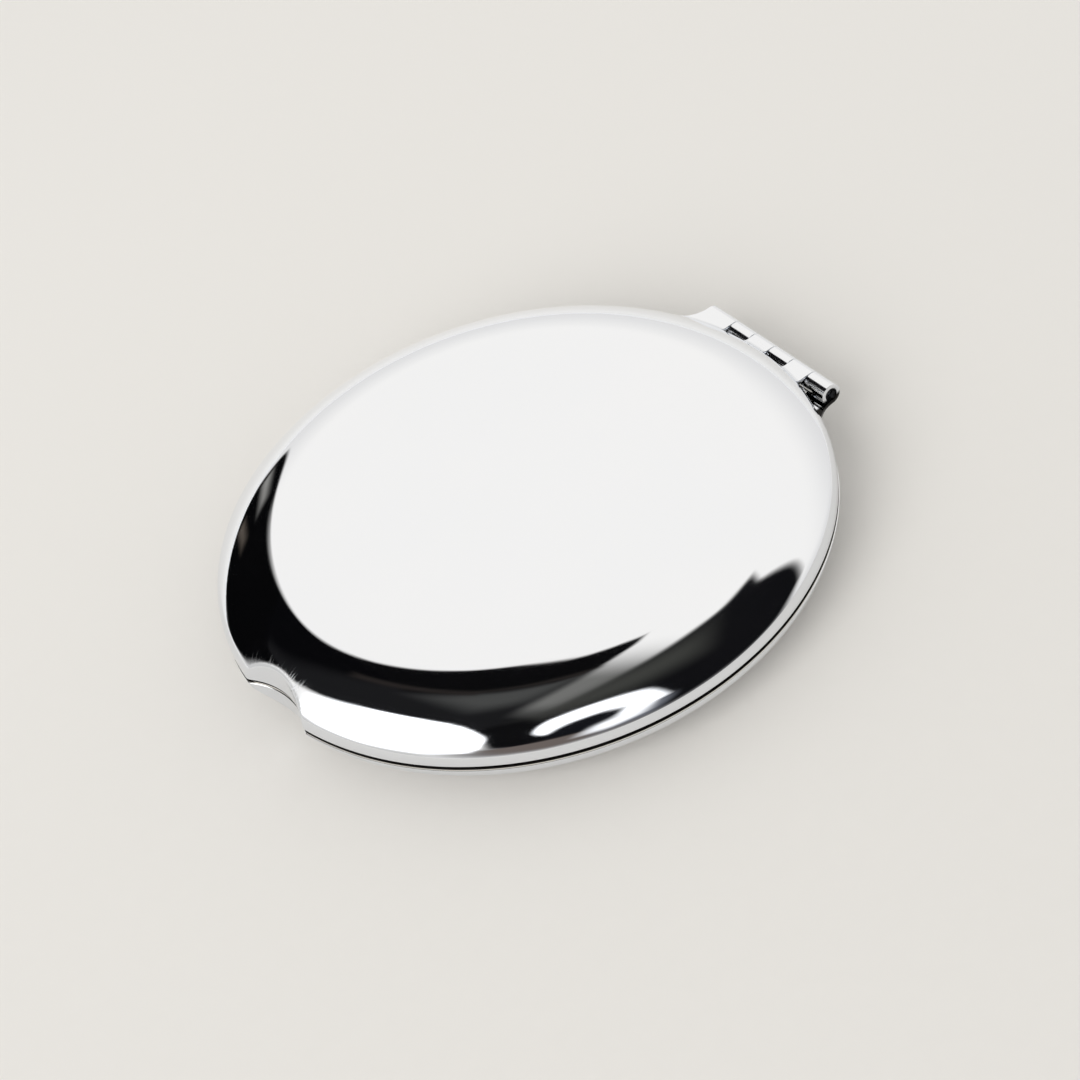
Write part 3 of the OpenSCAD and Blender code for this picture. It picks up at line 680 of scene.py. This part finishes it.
# Shapes in the room that the chrome mirrors, each a convex outline on a map of the sky, in degrees from the zenith,
# first to the camera's right and then towards the camera. A shape has a tone, a strength, the rounding of its
# corners, and the softness of its edge at two places, with a smooth change between them. It covers those before it.
ROOM = [
    ("table_haze", "#858280", 1.0, 20, (30, (0, 40)), (22, (0, 84)),
     [(-60, 54), (-30, 34), (40, 20), (80, 30), (76, 60), (30, 86), (-30, 84), (-56, 70)]),
    ("side_haze", "#dcdad6", 1.0, 10, (12, (-70, 0)), (14, (-90, 0)),
     [(-64, -52), (-60, 0), (-66, 60), (-110, 60), (-110, -60)]),
    ("gap_fade", "#7b7a76", 1.0, 2, (17, (6, -1)), (17, (-20, 20)),
     [(-6.5, -16), (21.3, 13), (-3, 36.8), (-30.8, 7.8)]),
    ("gap_end", "#1c1c1c", 1.0, 2, (12, (-11, 15)), (12, (-30, 30)),
     [(-22, 4.7), (-1, 26.3), (-15.4, 40), (-36, 18.6)]),
    ("dark_wall_far", "#070708", 1.0, 4, (1.6, (-24, -50)), (5, (-66, -50)),
     [(-25, -82), (-23, -72), (-25, -24), (-50, -21), (-71, -42), (-71.5, -56), (-55, -74.5), (-38, -84)]),
    ("dark_wall_near", "#1d1d1e", 1.0, 4, (2, (-20, -30)), (7, (-30, 30)),
     [(-22, -46), (-12, -31), (0, -14), (4, -1), (-14, 17), (-29, 30), (-56, -22), (-53, -36)]),
    ("wall_haze", "#4e4e4c", 1.0, 4, (10, (-20, 0)), (8, (0, 0)),
     [(-23, -7), (-8, -5), (2, -1), (-9, 8), (-20, 7)]),
    ("dark_turn", "#08080a", 1.0, 6, (2, (-20, -30)), (12, (-40, -14)),
     [(-22, -46), (-13, -32), (-14, -10), (-27, -17), (-48, -26), (-50, -40)]),
    ("dark_beam", "#0b0b0c", 1.0, 1, (2, (4, -20)), (5, (-4, 2)),
     [(-20, -35), (-5, -25.6), (1.2, -16.4), (4, -2.2), (-3, -1.8), (-10, -3.5), (-24, -12)]),
    ("dark_beam_tip", "#0b0b0c", 1.0, 0.5, (1.6, (4, -20)), (3, (-4, 2)),
     [(-3, -18.4), (10.6, -12), (10, -9), (4.4, -2), (-3, -2)]),
    ("beam_glint", "#2b2725", 1.0, 1, (3, (-30, -18)), (3, (0, 0)),
     [(-31, -20), (-28, -22), (-13, -7), (-15, -5)]),
    ("beam_glint_end", "#2b2725", 1.0, 1, (3, (-30, -18)), (3, (0, 0)),
     [(-16, -7), (-13, -7.5), (3, -3), (2, -1)]),
    ("open_corner", "#fbf8f3", 1.15, 21, (2, (-26, -40)), (8, (-24, -60)),
     [(-23, -66), (-27.5, -31), (20, -18.7), (30, -66)]),
    ("dark_floor_side", "#121214", 1.0, 8, (1.5, (34, -6)), (34, (60, 66)),
     [(-30, 40), (-12, 17), (22, 1.5), (31, -4.5), (63, -7), (74, 8), (87, 24), (84, 40), (70, 60), (42, 81),
      (12, 84), (-26, 62)]),
    ("dark_floor_peak", "#121214", 1.0, 3, (3, (37, -10)), (4, (37, 5)),
     [(27, 3), (36.5, -9.6), (47, 1), (38, 9)]),
    ("grey_reach", "#454541", 1.0, 8, (16, (28, 12)), (10, (0, 10)),
     [(-14, 24), (8, 10), (28, 6), (31, 18), (8, 25)]),
    ("dark_foot", "#101011", 1.0, 4, (4, (-20, 30)), (6, (0, 38)), [(-27, 22), (-12, 22), (-8, 41), (-28, 40)]),
    ("foot_haze", "#746a64", 1.0, 8, (5, (-14, 42)), (26, (-14, 70)),
     [(-36, 44), (-24, 41), (-12, 42), (-2, 44), (14, 52), (20, 80), (-20, 84), (-40, 66)]),
    ("softbox", "#ffffff", 3.0, 4, (2.4, (-30, 28)), (20, (-60, 38)),
     [(-55, -13.5), (-41.2, -3.3), (-31.8, 7.6), (-26.6, 16.5), (-25.3, 30), (-42, 47), (-60, 42), (-76, 22),
      (-79, 2), (-70, -9)]),
    ("leg_haze", "#77797f", 1.0, 6, (8, (20, 44)), (20, (20, 76)),
     [(4, 44), (16, 38), (26, 40), (31, 56), (28, 78), (4, 78)]),
    ("window_leg", "#ffffff", 1.3, 4, (4, (10, 36)), (16, (10, 64)),
     [(-2, 64), (-1.5, 50), (2, 40), (11, 35), (21, 35), (21, 46), (22, 62), (8, 70)]),
    ("window_bar", "#ffffff", 2.2, 4, (2.4, (-10, 30)), (4, (24, 36)),
     [(-14.5, 35), (-10.5, 28.6), (-2, 25.4), (8, 25.4), (17, 28.6), (24.5, 38.5), (14, 40), (-11, 39)]),
    ("window_shade", "#15161a", 1.0, 3, (3, (-10, 36)), (4, (8, 36)),
     [(-12.5, 39), (-5, 33.8), (5, 32.8), (12, 36), (8, 41), (-4, 43), (-12, 42)]),
    ("far_slit", "#9a9893", 1.0, 2, (3, (-30, -80)), (6, (-30, -68)),
     [(-32.5, -80), (-29, -80), (-29, -69), (-32, -69)]),
    ("far_slit_brown", "#5d554d", 1.0, 2, (3, (-42, -76)), (6, (-42, -68)),
     [(-44, -77), (-40, -77), (-40, -68), (-43, -68)]),
]
OPEN_ROOM = ("#fbf8f3", 1.15)
FAR_FLOOR = ("#f3f1ee", 1.0)


def room():
    """The white room: its shapes are mirrored in the bright metal, all else is lit softly and evenly by it, and the
    camera itself sees a plain pale backdrop."""
    world = bpy.data.worlds.new("white_room")
    bpy.context.scene.world = world
    world.use_nodes = True
    tree = world.node_tree
    tree.nodes.clear()
    way = add(tree, "TexCoord").outputs["Generated"]
    right = add(tree, "VectorMath", {"operation": "DOT_PRODUCT"}, {0: way, 1: ACROSS}).outputs["Value"]
    near = add(tree, "VectorMath", {"operation": "DOT_PRODUCT"}, {0: way, 1: TOWARD}).outputs["Value"]
    height = add(tree, "SeparateXYZ", inputs={0: way}).outputs[2]
    tilt = math_of(tree, "ARCCOSINE", height)
    degrees = math_of(tree, "DEGREES", tilt)
    level = add(tree, "CombineXYZ", inputs={0: right, 1: near, 2: 0.0}).outputs[0]
    pointing = add(tree, "VectorMath", {"operation": "NORMALIZE"}, {0: level}).outputs["Vector"]
    spot = add(tree, "VectorMath", {"operation": "SCALE"}, {0: pointing, "Scale": degrees}).outputs["Vector"]

    def tone(code, strength):
        return [c * strength for c in linear(code)[:3]] + [1.0]

    def shape(rounding, sharp, soft, corners):
        middle = sum((Vector(c) for c in corners), Vector((0, 0))) / len(corners)
        inner = None
        for here, there in zip(corners, corners[1:] + corners[:1]):
            a, b = Vector(here), Vector(there)
            inward = Vector((a.y - b.y, b.x - a.x)).normalized()
            inward *= math.copysign(1, inward.dot(middle - a))
            off = add(tree, "VectorMath", {"operation": "DOT_PRODUCT"}, {0: spot, 1: (inward.x, inward.y, 0.0)})
            off = math_of(tree, "SUBTRACT", off.outputs["Value"], inward.dot(a))
            inner = off if inner is None else math_of(tree, "SMOOTH_MIN", inner, off, float(rounding))
        from_a, to_b = Vector(sharp[1]), Vector(soft[1])
        line = (to_b - from_a).normalized()
        run = add(tree, "VectorMath", {"operation": "DOT_PRODUCT"}, {0: spot, 1: (line.x, line.y, 0.0)})
        half = add(tree, "MapRange", inputs={0: run.outputs["Value"], 1: line.dot(from_a), 2: line.dot(to_b),
                                             3: sharp[0] / 2, 4: soft[0] / 2}).outputs[0]
        edge = math_of(tree, "DIVIDE", inner, half)
        return add(tree, "MapRange", {"interpolation_type": "SMOOTHSTEP"}, {0: edge, 1: -1.0, 2: 1.0}).outputs[0]

    far = add(tree, "MapRange", {"interpolation_type": "SMOOTHSTEP"}, {0: degrees, 1: 60.0, 2: 92.0}).outputs[0]
    colour = add(tree, "Mix", {"data_type": "RGBA"}, {0: far, 6: tone(*OPEN_ROOM), 7: tone(*FAR_FLOOR)}).outputs[2]
    for name, code, strength, *outline in ROOM:
        colour = add(tree, "Mix", {"data_type": "RGBA"},
                     {0: shape(*outline), 6: colour, 7: tone(code, strength)}).outputs[2]
    rays = add(tree, "LightPath").outputs
    plain = add(tree, "Mix", {"data_type": "RGBA"},
                {0: rays["Is Camera Ray"], 6: tone("#f3f3f2", 0.8), 7: tone("#e6e3df", 1.0)}).outputs[2]
    soft = add(tree, "Background", inputs={0: plain, 1: 1.0})
    mirrored = add(tree, "Background", inputs={0: colour, 1: 1.0})
    light = add(tree, "MixShader", inputs={0: rays["Is Glossy Ray"], 1: soft.outputs[0], 2: mirrored.outputs[0]})
    add(tree, "OutputWorld", inputs={0: light.outputs[0]})


def floor_and_light():
    """A floor of pale paper, 6 m square, under one large soft lamp on the left that the metal doesn't mirror."""
    floor = loft("floor", [[(-3, -3, 0), (3, -3, 0)], [(-3, 3, 0), (3, 3, 0)]], loop=False)
    material, tree, shader, place = finish("pale_studio_paper", Roughness=0.9, IOR=1.4)
    grain = add(tree, "TexNoise", inputs={"Vector": place, "Scale": 400.0, "Detail": 2.0})
    near = add(tree, "Mix", {"data_type": "RGBA"},
               {0: grain.outputs[0], 6: linear("#e6e3de"), 7: linear("#e8e5e0")}).outputs[2]
    away = add(tree, "VectorMath", {"operation": "DOT_PRODUCT"}, {0: place, 1: -TOWARD}).outputs["Value"]
    tint = near
    # the paper is painted brighter towards the back of the room and whiter still further back: painted light where
    # more light falls there
    for start, end, code in ((-0.12, 0.12, "#f0ede8"), (0.12, 0.45, "#fdfcfa")):
        share = add(tree, "MapRange", {"interpolation_type": "SMOOTHSTEP"}, {0: away, 1: start, 2: end}).outputs[0]
        tint = add(tree, "Mix", {"data_type": "RGBA"}, {0: share, 6: tint, 7: linear(code)}).outputs[2]
    tree.links.new(tint, shader.inputs["Base Color"])
    # towards the back the paper also glows a little, for glossy rays only: a painted glow that only the bright metal
    # shows in its reflection
    glossy = add(tree, "LightPath").outputs["Is Glossy Ray"]
    behind = add(tree, "MapRange", {"interpolation_type": "SMOOTHSTEP"}, {0: away, 1: 0.0, 2: 0.12, 4: 0.2}).outputs[0]
    painted_glow_behind = math_of(tree, "MULTIPLY", glossy, behind)
    tree.links.new(painted_glow_behind, shader.inputs["Emission Strength"])
    floor.data.materials.append(material)
    data = bpy.data.lights.new("soft_key", "AREA")
    data.shape, data.size, data.energy = "DISK", 0.9, 7.6
    lamp = bpy.data.objects.new("soft_key", data)
    bpy.context.scene.collection.objects.link(lamp)
    place = (-ACROSS * 0.6 + TOWARD * 0.75 + Vector((0, 0, 0.65))) * 1.1
    lamp.matrix_world = Matrix.Translation(place) @ place.to_track_quat("Z", "Y").to_matrix().to_4x4()
    lamp.visible_glossy = False
    bpy.context.scene.view_settings.view_transform = "Standard"


# ---- the object -------------------------------------------------------------------------------------------------
chrome, nickel, silvered, ground = polished_chrome(), bright_nickel(), silvered_glass(), ground_glass()
steel, foam, greyboard, adhesive = drawn_steel(), closed_cell_foam(), pressed_greyboard(), acrylic_adhesive()

finish_piece(shell("lid_case", LID_EDGE, 0), "lid", "lid", [chrome], ["lid_shell"])
finish_piece(shell("base_case", BASE_EDGE, 1), "base", "base", [chrome], ["base_shell"])

lid_ring = frame_ring("lid_mirror_frame", LID_FACE, LID_FLANGE_R, LID_FLANGE_R, False)
press(lid_ring, set_out(peg("catch_hole", HOLE_R, 0.1, 0.9), nickel), "DIFFERENCE")
finish_piece(lid_ring, "lid", "lid", [nickel], ["lid_frame"])

base_ring = frame_ring("base_mirror_frame", BASE_FACE, BASE_FLANGE_R, BASE_SKIRT_R, True)
press(base_ring, set_out(peg("catch_nib", NIB_R, 0.3, -0.1, dome=True), nickel), "UNION")
finish_piece(base_ring, "base", "base", [nickel], ["base_frame"])

flat_glass = mirror_glass("plain_mirror", lambda r: LID_FACE + FRAME_T, lambda r: LID_FACE + FRAME_T + GLASS)
bowl_glass = mirror_glass("magnifying_mirror", bowl(BOWL_R), bowl(BOWL_R + GLASS))
for glass, side in ((flat_glass, "lid"), (bowl_glass, "base")):
    finish_piece(glass, side, side, [silvered, ground], [side + "_mirror"])
    up = 1 if side == "base" else -1
    # the front is bright, and the ground edge and the painted back are matt
    for face in glass.data.polygons:
        inside = math.hypot(face.center.x, face.center.y) < (MIRROR_R - ARRIS) * MM
        face.material_index = 0 if face.normal.z * up > 0.5 and inside else 1

lid_foam = foam_disc("lid_foam_pad", lambda r: LID_PAD_DEPTHS[0], LID_PAD_DEPTHS[1])
base_foam = foam_disc("base_foam_pad", bowl(BOWL_R + GLASS), BASE_BOARD)
for pad, side in ((lid_foam, "lid"), (base_foam, "base")):
    finish_piece(pad, side, side, [foam], [side + "_pad"], 60)

finish_piece(wire_pin("wire_hinge_pin"), "lid", "base", [steel], ["hinge_pin"])

# the boards and the adhesive sheets show their CAD solids
for side in ("lid", "base"):
    for node, material in (("board", greyboard), ("adhesive", adhesive)):
        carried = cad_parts[side + "_" + node]
        carried.data.materials.clear()
        carried.data.materials.append(material)

camera()
room()
floor_and_light()
